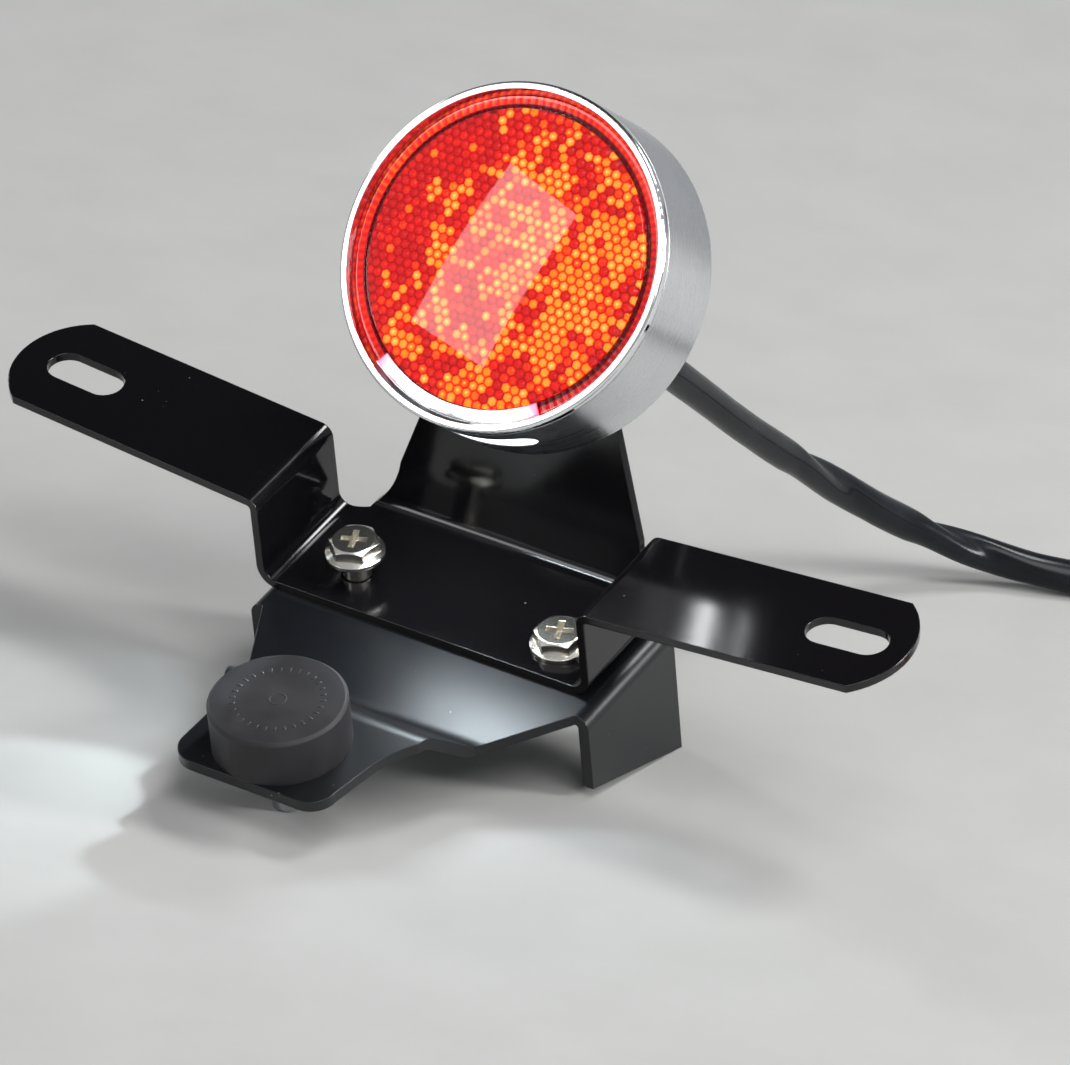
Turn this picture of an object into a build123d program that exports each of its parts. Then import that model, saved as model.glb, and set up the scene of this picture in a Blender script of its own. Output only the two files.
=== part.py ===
from build123d import *
import os
from math import asin, cos, degrees, pi, radians, sin, tan

# Motorcycle tail light on a number-plate bracket, standing on a table.
# Millimetres. +X to the right, -Y the way the lamp shines, +Z up, Z = 0 the table.
# The bracket has a frame of its own: x as the part's X, y to the rear along the base plate,
# z out of the plate, with the origin on the base plate's top front edge.
# The lamp has one too: z out of its front, y up its face, origin at its back's centre.

os.makedirs("parts", exist_ok=True)

# ---- driving dimensions ----
STAND_TILT = 18.4          # the base plate rises this much to the rear as the part stands
ORIGIN_SHIFT_X = 0.85      # put the middle of the width and depth over the origin
ORIGIN_SHIFT_Y = 7.342

SHEET = 1.5                # upper bracket
BASE_HALF = 32.0           # between the risers' inner faces, halved
BASE_DEPTH = 26.5          # front edge to the upright's bend
WING_HEIGHT = 16.4         # wing's top face above the base plate's
WING_DEPTH = 23.5
WING_TIPS = (84.0, 83.0)   # left and right wing's end corners from the middle
WING_END_BULGES = (6.3, 5.6)
WING_RISE = 3.0            # degrees; each wing rises outwards and sweeps back a little
WING_SWEEP = 2.5
SLOT_SPACING = 153.0
SLOT_LENGTH = 15.0
SLOT_WIDTH = 7.0
TOP_BEND = 2.3             # bend radius on the sheet's top face

CENTRE_X = 2.0             # upright, lamp and screws stand off the wings' middle
UPRIGHT_LEAN = 15.0        # degrees from the base plate's normal
SEAT_LEAN = 46.3           # the same for the lamp's seat, above the second bend
UPRIGHT_FOOT = 28.6        # half widths of the upright, from its foot to its neck
UPRIGHT_WAIST = 24.2
UPRIGHT_NECK = 15.0
WAIST_HEIGHT = 8.5
SEAT_RADIUS = 15.0

PLATE = 2.0                # lower bracket's sheet
PLATE_HALF = 34.0
PLATE_FRONT = -4.8
PLATE_REAR = 22.4
FLANGE_FRONT = 15.2        # depth of the side flanges below the plate's top face
FLANGE_REAR = 26.4
FLANGE_BEND = 2.6
TAB_TOP = 7.6              # tab's top face above the base plate's
TAB_FRONT = -53.0
TAB_HALF = 15.2
TAB_CORNER = 4.5
STEP_REAR = -19.5
STEP_FRONT = -29.5
# each edge of the tongue: foot of the step, its head, and two points of the tab's hollow side
TONGUE_EDGES = (
    (-1, (-22.5, STEP_REAR), (-18.2, -31.5), (-16.0, -36.0), (-14.9, -41.0)),
    (1, (23.0, STEP_REAR), (20.6, -31.8), (17.9, -36.3), (16.4, -41.5)),
)
STEP_BEND = 5.0

LAMP_R = 30.0
LAMP_DEPTH = 20.2          # back face to the bezel's front
LAMP_BACK_Y = 43.8         # back face's centre in the bracket's frame
LAMP_BACK_Z = 45.8
HOUSING_WALL = 2.0
HOUSING_FRONT = 18.4
BEZEL_JOINT = 0.2          # the fine line between housing and bezel
BEZEL_SEAT = 15.5          # floor of the housing's counterbore
BEZEL_SPIGOT_R = 28.9
BORE_R = 28.0
LEDGE_R = 26.0
LEDGE_TOP = 7.0
BOARD = 1.6
TRAY_TOP = 15.2
LENS_BACK = 16.4
LENS_RING_TOP = 18.2
LENS_TOP = 18.8            # edge of the raised disc
LENS_DOME = 1.5
LENS_GROOVE = 0.5
LENS_DISC_R = 25.6
SHADE_R = 25.8             # bezel's crescent at the foot of the lens
SHADE = 0.5
SHADE_HALF_ANGLE = 35.0
LED_R = 2.5
LED_PITCH = 9.0
STUD_SPACING = 16.0
STUD_R = 2.5
PAD = 2.0                  # rubber between lamp and bracket
PAD_R = 12.0
WINDOW_HALF = 13.6         # number-plate light's window, half its width across
WINDOW_REAR = 8.6
WINDOW_FRONT = 14.4

CABLE_R = 3.0
CABLE_X = 18.0             # where the cable leaves the lamp's back, from its centre
CABLE_Y = -6.5
CABLE_INSIDE = 5.5         # the cable's end above the back's outer face
GROMMET_R = 5.0
GROMMET_NECK_R = 3.9
WIRE_R = 0.9
SLEEVE_R = 3.5
CABLE_REST = CABLE_R + 0.1   # heights at which cable and sleeve lie on the table
SLEEVE_REST = SLEEVE_R + 0.1
SLEEVE_LENGTH = 13.0
SLEEVE_PAST_END = 5.0
BULLET_R = 2.0

PUCK_R = 11.8
PUCK_HEIGHT = 8.8
PUCK_Y = -41.3
BUFFER_STUD_R = 2.9
STUD_IN_PUCK = 4.5

SCREW_R = 2.5
SCREW_SPACING = 41.0
SCREW_Y = 8.4
SCREW_LENGTH = 16.0
SCREW_BACKED_OUT = 4.4     # the left screw is undone by this much
FLANGE_R = 5.2
FLANGE_EDGE = 0.7
FLANGE_RISE = 0.5
HEX_HALF = 4.0             # half across the flats
HEX_TURN = 20.0
HEAD_HEIGHT = 3.2
RECESS = 4.6
RECESS_DEPTH = 2.2
CLEARANCE = 0.25           # a hole's radius over its screw's
RUN_FIT = 0.05

# ---- frames ----
tilt = radians(STAND_TILT)
seat_lean = radians(SEAT_LEAN)
# the flanges' rear corners stand on the table
origin_height = (SHEET + FLANGE_REAR) * cos(tilt) - PLATE_REAR * sin(tilt)
bracket = Plane(
    origin=(ORIGIN_SHIFT_X, ORIGIN_SHIFT_Y, origin_height),
    x_dir=(1, 0, 0),
    z_dir=(0, -sin(tilt), cos(tilt)),
).location
lamp_plane = Plane(
    origin=(CENTRE_X, LAMP_BACK_Y, LAMP_BACK_Z),
    x_dir=(1, 0, 0),
    z_dir=(0, -cos(seat_lean), sin(seat_lean)),
)
lamp = bracket * lamp_plane.location


def placed(frame, plane):
    """A plane given in a frame's own directions."""
    return Plane(frame * plane.location)


def on_bracket(height):
    """Plane parallel to the base plate, above its top face."""
    return placed(bracket, Plane.XY.offset(height))


def on_lamp(depth):
    """Plane across the lamp, in front of its back's outer face."""
    return placed(lamp, Plane.XY.offset(depth))


def write(builder, name):
    builder.part.label = name
    export_step(builder.part, "parts/" + name + ".step")


def ring(plane, outer, inner, height):
    """Adds a washer or tube to the part being built."""
    with BuildSketch(plane) as outline:
        Circle(outer)
        if inner:
            Circle(inner, mode=Mode.SUBTRACT)
    extrude(outline.sketch, amount=height)


# ---- upper bracket: base plate, risers, wings and upright, bent from one sheet ----
rise = tan(radians(WING_RISE))
sweep_back = tan(radians(WING_SWEEP))
lean = radians(UPRIGHT_LEAN)
blank_half = max(WING_TIPS) + 15
blank_lift = (blank_half - BASE_HALF) * rise
seat_y = LAMP_BACK_Y + PAD * cos(seat_lean)
seat_z = LAMP_BACK_Z - PAD * sin(seat_lean)
# second bend: where the leaning upright meets the line of the seat
second_bend = (seat_z * sin(seat_lean) - (seat_y - BASE_DEPTH) * cos(seat_lean)) / sin(
    seat_lean - lean
)
bend_y = BASE_DEPTH + second_bend * sin(lean)
bend_z = second_bend * cos(lean)
seat_top_y = seat_y + SEAT_RADIUS * sin(seat_lean)
seat_top_z = seat_z + SEAT_RADIUS * cos(seat_lean)
bend_start = BASE_DEPTH - TOP_BEND * tan((pi / 2 - lean) / 2)

with BuildPart() as upright_blank:
    with BuildSketch(placed(bracket, Plane.YZ.offset(-45))):
        with BuildLine():
            FilletPolyline(
                (WING_DEPTH / 2, 0),
                (BASE_DEPTH, 0),
                (bend_y, bend_z),
                (seat_top_y, seat_top_z),
                radius=TOP_BEND,
            )
            offset(amount=SHEET, side=Side.RIGHT)
        make_face()
    extrude(amount=90)
    # seen from the front: flared foot, straight taper, rounded head
    with BuildSketch(placed(bracket, Plane.XZ)):
        with BuildLine():
            ends = []
            for side in (-1, 1):
                foot = (CENTRE_X + side * UPRIGHT_FOOT, 0)
                waist = (CENTRE_X + side * UPRIGHT_WAIST, WAIST_HEIGHT)
                neck = (CENTRE_X + side * UPRIGHT_NECK, bend_z)
                middle = (CENTRE_X + side * (UPRIGHT_WAIST + 1.4), WAIST_HEIGHT / 2 - 0.6)
                end = (CENTRE_X + side * SEAT_RADIUS, seat_z)
                Line((foot[0], -2 * SHEET), foot)
                ThreePointArc(foot, middle, waist)
                Polyline(waist, neck, end)
                ends.append(end)
            Line(
                (CENTRE_X - UPRIGHT_FOOT, -2 * SHEET),
                (CENTRE_X + UPRIGHT_FOOT, -2 * SHEET),
            )
            ThreePointArc(ends[0], (CENTRE_X, seat_top_z + 0.3), ends[1])
        make_face()
    extrude(amount=-90, mode=Mode.INTERSECT)

with BuildPart() as upper_bracket:
    with BuildSketch(placed(bracket, Plane.XZ.offset(10))):
        with BuildLine():
            FilletPolyline(
                (-blank_half, WING_HEIGHT + blank_lift),
                (-BASE_HALF, WING_HEIGHT),
                (-BASE_HALF, 0),
                (BASE_HALF, 0),
                (BASE_HALF, WING_HEIGHT),
                (blank_half, WING_HEIGHT + blank_lift),
                radius=TOP_BEND,
            )
            offset(amount=SHEET, side=Side.RIGHT)
        make_face()
    extrude(amount=-50)
    # plan view: straight across the base, wings swept back, arched ends
    with BuildSketch(on_bracket(-2 * SHEET)):
        with BuildLine():
            corner = [(side * BASE_HALF, y) for side in (-1, 1) for y in (0, WING_DEPTH)]
            Line(corner[0], corner[2])
            Line(corner[1], corner[3])
            for side, tip, bulge in zip((-1, 1), WING_TIPS, WING_END_BULGES):
                far_tip = tip - WING_DEPTH * sweep_back
                near = (side * tip, (tip - BASE_HALF) * sweep_back)
                far = (side * far_tip, WING_DEPTH + (far_tip - BASE_HALF) * sweep_back)
                Line((side * BASE_HALF, 0), near)
                Line((side * BASE_HALF, WING_DEPTH), far)
                SagittaArc(near, far, -side * bulge)
        make_face()
    extrude(amount=60, mode=Mode.INTERSECT)
    # the base plate runs on to the upright's bend with a round notch by each riser
    with BuildSketch(on_bracket(-SHEET)):
        with BuildLine():
            for side in (-1, 1):
                notch = (side * (BASE_HALF - 0.6), WING_DEPTH)
                foot = (CENTRE_X + side * UPRIGHT_FOOT, bend_start)
                Line((side * (BASE_HALF - 0.6), WING_DEPTH / 2), notch)
                if side < 0:
                    left_foot = foot
                    ThreePointArc(notch, (foot[0] - 1.6, WING_DEPTH + 0.35), foot)
                else:
                    Line(notch, foot)
            Line(left_foot, foot)
            Line((-(BASE_HALF - 0.6), WING_DEPTH / 2), (BASE_HALF - 0.6, WING_DEPTH / 2))
        make_face()
    extrude(amount=SHEET)
    add(upright_blank.part)
    # number-plate slots
    with BuildSketch(on_bracket(WING_HEIGHT / 2)):
        for side in (-1, 1):
            along = SLOT_SPACING / 2
            across = WING_DEPTH / 2 + (along - BASE_HALF) * sweep_back
            with Locations(Location((side * along, across), side * WING_SWEEP)):
                SlotOverall(SLOT_LENGTH, SLOT_WIDTH)
    extrude(amount=20, mode=Mode.SUBTRACT)
    with BuildSketch(on_bracket(-2 * SHEET)):
        with Locations((CENTRE_X, SCREW_Y)):
            with GridLocations(SCREW_SPACING, 1, 2, 1):
                Circle(SCREW_R + CLEARANCE)
    extrude(amount=3 * SHEET, mode=Mode.SUBTRACT)
    with BuildSketch(on_lamp(-PAD - 3 * SHEET)):
        with GridLocations(STUD_SPACING, 1, 2, 1):
            Circle(STUD_R + CLEARANCE)
    extrude(amount=4 * SHEET, mode=Mode.SUBTRACT)
write(upper_bracket, "upper_bracket")

# ---- lower bracket: plate, side flanges, and the stepped tongue that carries the buffer ----
plate_top = -SHEET
left, right = CENTRE_X - PLATE_HALF, CENTRE_X + PLATE_HALF
flange_deepest = plate_top - FLANGE_REAR - 5

with BuildPart() as tongue:
    with BuildSketch(placed(bracket, Plane.YZ.offset(-45))):
        with BuildLine():
            FilletPolyline(
                (PLATE_REAR, plate_top),
                (STEP_REAR, plate_top),
                (STEP_FRONT, TAB_TOP),
                (TAB_FRONT, TAB_TOP),
                radius=STEP_BEND,
            )
            offset(amount=PLATE, side=Side.LEFT)
        make_face()
    extrude(amount=90)
    with BuildSketch(on_bracket(-30)):
        with BuildLine():
            for side, neck_rear, neck_front, hollow, tab_rear in TONGUE_EDGES:
                shoulder = (CENTRE_X + side * (PLATE_HALF - FLANGE_BEND), PLATE_FRONT)
                tab_end = (side * TAB_HALF, TAB_FRONT + TAB_CORNER)
                front_end = (side * (TAB_HALF - TAB_CORNER), TAB_FRONT)
                corner_mid = TAB_CORNER * (1 - cos(pi / 4))
                Polyline((shoulder[0], PLATE_REAR), shoulder, neck_rear, neck_front)
                ThreePointArc(neck_front, hollow, tab_rear)
                Line(tab_rear, tab_end)
                ThreePointArc(
                    tab_end,
                    (side * (TAB_HALF - corner_mid), TAB_FRONT + corner_mid),
                    front_end,
                )
            Line((left + FLANGE_BEND, PLATE_REAR), (right - FLANGE_BEND, PLATE_REAR))
            Line((-(TAB_HALF - TAB_CORNER), TAB_FRONT), (TAB_HALF - TAB_CORNER, TAB_FRONT))
        make_face()
    extrude(amount=60, mode=Mode.INTERSECT)

with BuildPart() as lower_bracket:
    with BuildSketch(placed(bracket, Plane.XZ.offset(-PLATE_FRONT))):
        with BuildLine():
            FilletPolyline(
                (left, flange_deepest),
                (left, plate_top),
                (right, plate_top),
                (right, flange_deepest),
                radius=FLANGE_BEND,
            )
            offset(amount=PLATE, side=Side.RIGHT)
        make_face()
    extrude(amount=-(PLATE_REAR - PLATE_FRONT))
    # the flanges' lower edges slant down to the rear
    with BuildSketch(placed(bracket, Plane.YZ.offset(-45))):
        with BuildLine():
            Polyline(
                (PLATE_FRONT - 1, plate_top + 5),
                (PLATE_REAR + 1, plate_top + 5),
                (PLATE_REAR + 1, plate_top - FLANGE_REAR),
                (PLATE_REAR, plate_top - FLANGE_REAR),
                (PLATE_FRONT, plate_top - FLANGE_FRONT),
                (PLATE_FRONT - 1, plate_top - FLANGE_FRONT),
                close=True,
            )
        make_face()
    extrude(amount=90, mode=Mode.INTERSECT)
    add(tongue.part)
    with BuildSketch(on_bracket(plate_top - 2 * PLATE)):
        with Locations((CENTRE_X, SCREW_Y)):
            with GridLocations(SCREW_SPACING, 1, 2, 1):
                Circle(SCREW_R + CLEARANCE)
    extrude(amount=3 * PLATE, mode=Mode.SUBTRACT)
    with BuildSketch(on_bracket(TAB_TOP - 2 * PLATE)):
        with Locations((0, PUCK_Y)):
            Circle(BUFFER_STUD_R + CLEARANCE)
    extrude(amount=3 * PLATE, mode=Mode.SUBTRACT)
write(lower_bracket, "lower_bracket")

# ---- screws and nuts that join the brackets: hexagon heads with a flange and a cross recess ----
STANDING = (Align.CENTER, Align.CENTER, Align.MIN)
screw_sides = ((-1, SCREW_BACKED_OUT), (1, 0.0))


def on_screw(side, height):
    place = Plane(origin=(CENTRE_X + side * SCREW_SPACING / 2, SCREW_Y, height))
    return placed(bracket, place)


with BuildPart() as bracket_screws:
    for side, lift in screw_sides:
        with BuildSketch(on_screw(side, lift - SCREW_LENGTH)):
            Circle(SCREW_R)
        extrude(amount=SCREW_LENGTH)
        with BuildSketch(on_screw(side, lift)):
            Circle(FLANGE_R)
        extrude(amount=FLANGE_EDGE)
        slope = Cone(FLANGE_R, HEX_HALF, FLANGE_RISE, align=STANDING, mode=Mode.PRIVATE)
        add(on_screw(side, lift + FLANGE_EDGE).location * slope)
        # the hexagon, its corners turned off in a cone
        with BuildSketch(on_screw(side, lift)):
            RegularPolygon(HEX_HALF, 6, major_radius=False, rotation=HEX_TURN)
        prism = extrude(amount=HEAD_HEIGHT, mode=Mode.PRIVATE)
        crown_r = HEX_HALF - 0.3
        crown_foot_r = crown_r + HEAD_HEIGHT / tan(radians(30))
        crown = Cone(crown_foot_r, crown_r, HEAD_HEIGHT, align=STANDING, mode=Mode.PRIVATE)
        add(prism & (on_screw(side, lift).location * crown))
        with BuildSketch(on_screw(side, lift + HEAD_HEIGHT - RECESS_DEPTH)):
            Rectangle(RECESS, 1.1, rotation=HEX_TURN)
            Rectangle(1.1, RECESS, rotation=HEX_TURN)
        extrude(amount=RECESS_DEPTH, mode=Mode.SUBTRACT)
write(bracket_screws, "bracket_screws")

NUT_HEIGHT = 4.0
with BuildPart() as weld_nuts:
    for side, lift in screw_sides:
        with BuildSketch(on_screw(side, plate_top - PLATE - NUT_HEIGHT)):
            RegularPolygon(4.0, 6, major_radius=False)
            Circle(SCREW_R + RUN_FIT, mode=Mode.SUBTRACT)
        extrude(amount=NUT_HEIGHT)
write(weld_nuts, "weld_nuts")

# ---- rubber buffer on the tab, moulded round a stud ----
stud_lowest = (PUCK_Y - BUFFER_STUD_R) * tan(tilt) + origin_height / cos(tilt)


def on_puck(height):
    return placed(bracket, Plane(origin=(0, PUCK_Y, height)))


with BuildPart() as rubber_buffer:
    with BuildSketch(on_puck(TAB_TOP)):
        Circle(PUCK_R)
    extrude(amount=PUCK_HEIGHT)
    rims = rubber_buffer.edges().filter_by(GeomType.CIRCLE)
    chamfer(rims.sort_by_distance(on_puck(TAB_TOP + PUCK_HEIGHT + 30).origin)[0], 0.5)
    with BuildSketch(on_puck(TAB_TOP)):
        Circle(BUFFER_STUD_R)
    extrude(amount=STUD_IN_PUCK, mode=Mode.SUBTRACT)
write(rubber_buffer, "rubber_buffer")

with BuildPart() as buffer_stud:
    with BuildSketch(on_puck(-stud_lowest)):
        Circle(BUFFER_STUD_R)
    extrude(amount=TAB_TOP + STUD_IN_PUCK + stud_lowest)
write(buffer_stud, "buffer_stud")

tab_underside = TAB_TOP - PLATE
with BuildPart() as buffer_washer:
    ring(on_puck(tab_underside - 1.2), 6.0, BUFFER_STUD_R + 0.15, 1.2)
write(buffer_washer, "buffer_washer")

with BuildPart() as buffer_nut:
    with BuildSketch(on_puck(tab_underside - 1.2 - 4.8)):
        RegularPolygon(5.0, 6, major_radius=False)
        Circle(BUFFER_STUD_R + RUN_FIT, mode=Mode.SUBTRACT)
    extrude(amount=4.8)
write(buffer_nut, "buffer_nut")

# ---- lamp housing, a turned cup with a window for the number plate's light ----
window_height = WINDOW_FRONT - WINDOW_REAR


def cut_window(inset):
    """Sketch on a plane below the lamp of the window's outline, less an inset."""
    SlotOverall(2 * (WINDOW_HALF - inset), window_height - 2 * inset)


window_middle = (0, -LAMP_R - 1, (WINDOW_REAR + WINDOW_FRONT) / 2)
window_plane = placed(lamp, Plane(origin=window_middle, x_dir=(1, 0, 0), z_dir=(0, 1, 0)))

with BuildPart() as lamp_housing:
    ring(on_lamp(0), LAMP_R, 0, HOUSING_FRONT)
    rims = lamp_housing.edges().filter_by(GeomType.CIRCLE)
    fillet(rims.sort_by_distance(on_lamp(-30).origin)[0], 1.2)
    for floor, radius in ((HOUSING_WALL, LEDGE_R), (LEDGE_TOP, BORE_R), (BEZEL_SEAT, None)):
        with BuildSketch(on_lamp(floor)):
            Circle(radius or BEZEL_SPIGOT_R + RUN_FIT)
        extrude(amount=LAMP_DEPTH, mode=Mode.SUBTRACT)
    with BuildSketch(window_plane):
        cut_window(0)
    extrude(amount=8, mode=Mode.SUBTRACT)
    with BuildSketch(on_lamp(-1)):
        with GridLocations(STUD_SPACING, 1, 2, 1):
            Circle(STUD_R + CLEARANCE)
        with Locations((CABLE_X, CABLE_Y)):
            Circle(GROMMET_NECK_R)
    extrude(amount=HOUSING_WALL + 2, mode=Mode.SUBTRACT)
write(lamp_housing, "lamp_housing")

with BuildPart() as plate_light_window:
    ring(on_lamp(WINDOW_REAR - 1), LAMP_R - 0.15, LAMP_R - HOUSING_WALL - 0.3, 8)
    with BuildSketch(window_plane):
        cut_window(0.02)
    extrude(amount=8, mode=Mode.INTERSECT)
write(plate_light_window, "plate_light_window")

with BuildPart() as bezel_ring:
    with BuildSketch(placed(lamp, Plane.XZ)):
        with BuildLine():
            Polyline(
                (BORE_R, BEZEL_SEAT),
                (BEZEL_SPIGOT_R, BEZEL_SEAT),
                (BEZEL_SPIGOT_R, HOUSING_FRONT + BEZEL_JOINT),
                (LAMP_R, HOUSING_FRONT + BEZEL_JOINT),
                (LAMP_R, LAMP_DEPTH - 0.5),
            )
            ThreePointArc(
                (LAMP_R, LAMP_DEPTH - 0.5),
                (LAMP_R - 0.15, LAMP_DEPTH - 0.15),
                (LAMP_R - 0.5, LAMP_DEPTH),
            )
            Polyline(
                (LAMP_R - 0.5, LAMP_DEPTH),
                (LAMP_R - 1.3, LAMP_DEPTH),
                (BORE_R, LENS_RING_TOP),
                (BORE_R, BEZEL_SEAT),
            )
        make_face()
    revolve(axis=Axis(lamp.position, on_lamp(0).z_dir))
    # a bright crescent covers the lens's foot, in front of the number plate's light
    with BuildSketch(placed(lamp, Plane.XZ.rotated((0, 0, -90 - SHADE_HALF_ANGLE)))):
        with Locations(((SHADE_R + BORE_R) / 2 + 0.2, LENS_RING_TOP + SHADE / 2)):
            Rectangle(BORE_R - SHADE_R + 0.4, SHADE)
    revolve(axis=Axis(lamp.position, on_lamp(0).z_dir), revolution_arc=2 * SHADE_HALF_ANGLE)
write(bezel_ring, "bezel_ring")

dome_radius = (LENS_DISC_R**2 + LENS_DOME**2) / (2 * LENS_DOME)
dome_angle = degrees(asin(LENS_DISC_R / dome_radius))
with BuildPart() as tail_lens:
    # a low dome with a groove round it, and a lower rim under the bezel
    with BuildSketch(placed(lamp, Plane.XZ)):
        with BuildLine():
            Polyline(
                (0, LENS_TOP + LENS_DOME),
                (0, LENS_BACK),
                (BORE_R - 0.1, LENS_BACK),
                (BORE_R - 0.1, LENS_RING_TOP),
                (LENS_DISC_R + LENS_GROOVE, LENS_RING_TOP),
                (LENS_DISC_R + LENS_GROOVE, LENS_RING_TOP - LENS_GROOVE),
                (LENS_DISC_R, LENS_RING_TOP - LENS_GROOVE),
                (LENS_DISC_R, LENS_TOP),
            )
            CenterArc((0, LENS_TOP + LENS_DOME - dome_radius), dome_radius, 90 - dome_angle, dome_angle)
        make_face()
    revolve(axis=Axis(lamp.position, on_lamp(0).z_dir))
write(tail_lens, "tail_lens")

with BuildPart() as lens_gasket:
    ring(on_lamp(TRAY_TOP), BORE_R - 0.2, LEDGE_R + 0.4, LENS_BACK - TRAY_TOP)
write(lens_gasket, "lens_gasket")

# ---- what is inside: boards, lights and the white tray round them ----
led_places = [(0, 0)]
for count, radius in ((6, LED_PITCH), (12, 1.93 * LED_PITCH)):
    for index in range(count):
        angle = 2 * pi * index / count
        led_places.append((radius * cos(angle), radius * sin(angle)))
board_top = LEDGE_TOP + BOARD

with BuildPart() as led_board:
    ring(on_lamp(LEDGE_TOP), BORE_R - 0.2, 0, BOARD)
write(led_board, "led_board")

with BuildPart() as tail_leds:
    for place in led_places:
        with BuildSketch(on_lamp(board_top)):
            with Locations(place):
                Circle(LED_R)
        extrude(amount=5.4)
    domes = tail_leds.faces().filter_by(Plane(on_lamp(0).location)).sort_by(
        lambda face: (lamp.inverse() * Location(face.center())).position.Z
    )[-len(led_places):]
    fillet(domes.edges(), LED_R - 0.3)
write(tail_leds, "tail_leds")

with BuildPart() as reflector_tray:
    ring(on_lamp(board_top), BORE_R - 0.4, 0, TRAY_TOP - board_top)
    ring_floor = board_top + 1.2
    with BuildSketch(on_lamp(ring_floor)):
        Circle(BORE_R - 1.4)
    extrude(amount=TRAY_TOP, mode=Mode.SUBTRACT)
    with BuildSketch(on_lamp(board_top)):
        with Locations(*led_places):
            Circle(LED_R + 0.2)
        with Locations((0, -BORE_R)):
            Rectangle(30, 11.5)
    extrude(amount=TRAY_TOP, mode=Mode.SUBTRACT)
write(reflector_tray, "reflector_tray")

PLATE_BOARD_Y = -23.8
with BuildPart() as plate_light_board:
    with BuildSketch(on_lamp(board_top)):
        with Locations((0, PLATE_BOARD_Y)):
            Rectangle(22, 1.0)
    extrude(amount=6.2)
write(plate_light_board, "plate_light_board")

with BuildPart() as plate_light_leds:
    with BuildSketch(on_lamp(board_top + 1.4)):
        with Locations((0, PLATE_BOARD_Y - 0.5 - 0.6)):
            with GridLocations(7.0, 1, 3, 1):
                Rectangle(3.0, 1.2)
    extrude(amount=3.0)
write(plate_light_leds, "plate_light_leds")

# ---- how the lamp is held: two studs through pad and bracket ----
with BuildPart() as lamp_studs:
    with BuildSketch(on_lamp(-PAD - SHEET - 7.0)):
        with GridLocations(STUD_SPACING, 1, 2, 1):
            Circle(STUD_R)
    extrude(amount=PAD + SHEET + 7.0 + HOUSING_WALL)
    with BuildSketch(on_lamp(HOUSING_WALL)):
        with GridLocations(STUD_SPACING, 1, 2, 1):
            Circle(4.4)
    extrude(amount=1.6)
write(lamp_studs, "lamp_studs")

with BuildPart() as lamp_pad:
    with BuildSketch(on_lamp(-PAD)):
        Circle(PAD_R)
        with GridLocations(STUD_SPACING, 1, 2, 1):
            Circle(STUD_R + 0.1, mode=Mode.SUBTRACT)
    extrude(amount=PAD)
write(lamp_pad, "lamp_pad")

seat_back = -PAD - SHEET
with BuildPart() as lamp_stud_washers:
    with BuildSketch(on_lamp(seat_back - 1.0)):
        with GridLocations(STUD_SPACING, 1, 2, 1):
            Circle(5.0)
            Circle(STUD_R + 0.15, mode=Mode.SUBTRACT)
    extrude(amount=1.0)
write(lamp_stud_washers, "lamp_stud_washers")

with BuildPart() as lamp_stud_nuts:
    with BuildSketch(on_lamp(seat_back - 5.0)):
        with GridLocations(STUD_SPACING, 1, 2, 1):
            RegularPolygon(4.0, 6, major_radius=False)
            Circle(STUD_R + RUN_FIT, mode=Mode.SUBTRACT)
    extrude(amount=4.0)
write(lamp_stud_nuts, "lamp_stud_nuts")

# ---- cable ----
def on_cable(depth):
    return placed(lamp, Plane(origin=(CABLE_X, CABLE_Y, depth)))


with BuildPart() as cable_grommet:
    ring(on_cable(-2.0), GROMMET_R, CABLE_R, 2.0)
    ring(on_cable(0), GROMMET_NECK_R, CABLE_R, HOUSING_WALL)
    ring(on_cable(HOUSING_WALL), 4.5, CABLE_R, 1.0)
write(cable_grommet, "cable_grommet")


# the conductors' ends, soldered to the board
core_places = [(1.1 * cos(angle), 1.1 * sin(angle)) for angle in (pi / 2, -5 * pi / 6, -pi / 6)]
with BuildPart() as inner_leads:
    with BuildSketch(on_cable(CABLE_INSIDE)):
        with Locations(*core_places):
            Circle(WIRE_R)
    extrude(amount=LEDGE_TOP - CABLE_INSIDE)
write(inner_leads, "inner_leads")


def cord_radii(points):
    """For each corner, the largest arc that its two runs allow."""
    radii = []
    for before, here, after in zip(points, points[1:], points[2:]):
        run_in = Vector(here) - Vector(before)
        run_out = Vector(after) - Vector(here)
        half_turn = radians(run_in.get_angle(run_out)) / 2
        radii.append(0.45 * min(run_in.length, run_out.length) / tan(half_turn))
    return radii


def cord_tube(points, radius, name):
    """Adds a tube along runs joined by tangent arcs and reports its radii and volume."""
    radii = cord_radii(points)
    with BuildLine() as path:
        FilletPolyline(*points, radius=radii)
    centreline = path.wires()[0]
    with BuildSketch(Plane(origin=centreline @ 0, z_dir=centreline % 0)) as section:
        Circle(radius)
    tube = sweep(section.sketch, path=centreline)
    length = centreline.length
    print(name, "length", round(length, 1), "radii", [round(value, 1) for value in radii])
    print(name, "volume ratio", round(tube.volume / (pi * radius**2 * length), 4))


cable_start = on_cable(CABLE_INSIDE).origin
cable_first = on_cable(-9.0).origin
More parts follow.
